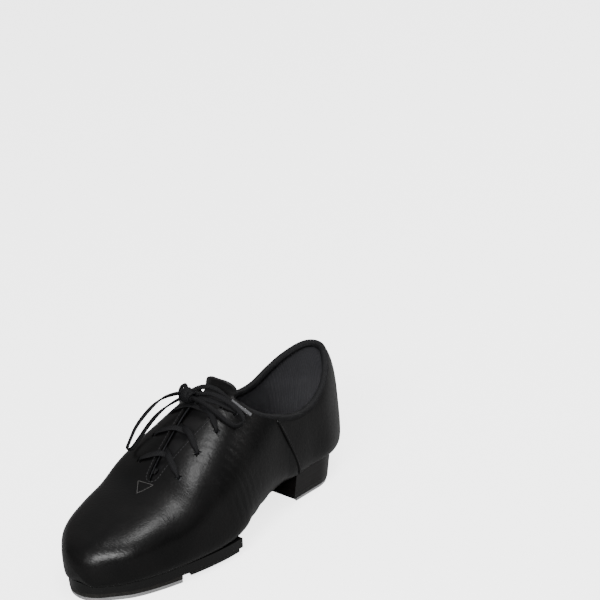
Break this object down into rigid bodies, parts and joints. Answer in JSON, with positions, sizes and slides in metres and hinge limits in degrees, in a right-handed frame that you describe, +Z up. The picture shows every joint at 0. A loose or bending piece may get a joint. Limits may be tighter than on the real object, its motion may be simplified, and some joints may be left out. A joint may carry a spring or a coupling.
{
  "type": "tap shoe",
  "caption": "Black leather split-sole lace-up tap shoe for the left foot, with aluminium toe and heel taps, a rubber half sole and a low stacked heel.",
  "frame": {"origin": "on the floor under the middle of the shoe without its free lace ends", "axes": "+Z up, the toe points to -Y and the heel to +Y, +X is the lateral (outer) side of this left shoe"},
  "size_m": [0.0903, 0.2545, 0.1048],
  "materials": {
    "upper_leather": "smooth black leather with a soft sheen",
    "lining": "dark woven lining",
    "stiffener": "stiff impregnated fabric",
    "binding": "narrow black tape",
    "insole_board": "brown fibre board",
    "sock": "dark sock leather",
    "outsole": "natural tan leather, edge painted black",
    "rubber": "black, with a fine diamond texture",
    "board": "black edge",
    "aluminium": "lightly scuffed",
    "screw": "countersunk heads",
    "heel_stack": "dark stacked lifts, polished edge",
    "heel_top": "natural tan leather",
    "nail": "plain",
    "lace": "flat woven black lace",
    "aglet": "clear film"
  },
  "bodies": {
    "heel_part": {"quarter_lateral": "upper_leather", "quarter_medial": "upper_leather", "quarter_lining": "lining", "heel_counter": "stiffener", "topline_binding_rear": "binding", "insole_board_rear": "insole_board", "sock_lining_rear": "sock", "heel_nails": "nail", "heel_lift_3": "heel_stack", "heel_lift_2": "heel_stack", "heel_lift_1": "heel_stack", "heel_top_piece": "heel_top", "heel_tap": "aluminium", "heel_tap_screws": "screw", "arch_panel_lateral": "upper_leather", "arch_panel_medial": "upper_leather", "arch_lining": "lining", "sock_lining_arch": "sock"},
    "forefoot": {"vamp": "upper_leather", "vamp_lining": "lining", "toe_puff": "stiffener", "facing_stay_lateral": "stiffener", "facing_stay_medial": "stiffener", "topline_binding_front": "binding", "insole_board_front": "insole_board", "sock_lining_front": "sock", "outsole_forefoot": "outsole", "rubber_half_sole": "rubber", "toe_tap_board": "board", "toe_tap": "aluminium", "toe_tap_screws": "screw", "lace_half_lateral": "lace", "lace_half_medial": "lace", "lace_knot": "lace", "lace_loop_lateral": "lace", "lace_loop_medial": "lace", "lace_end_lateral": "lace", "lace_end_medial": "lace", "aglet_lateral": "aglet", "aglet_medial": "aglet"},
    "tongue_body": {"tongue": "upper_leather", "tongue_lining": "lining"}
  },
  "joints": [
    {"name": "arch_flex", "type": "hinge", "parent": "heel_part", "child": "forefoot", "pos_m": [0, 0.038, 0.07716], "axis": [1, 0, 0], "range_deg": [0, 25], "stiffness_Nm_per_rad": 5, "deforming": ["arch_panel_lateral", "arch_panel_medial", "arch_lining", "sock_lining_arch"]},
    {"name": "tongue_tilt", "type": "hinge", "parent": "forefoot", "child": "tongue_body", "pos_m": [0, -0.061, 0.054], "axis": [1, 0, 0], "range_deg": [-12, 0], "stiffness_Nm_per_rad": 0.5}
  ]
}
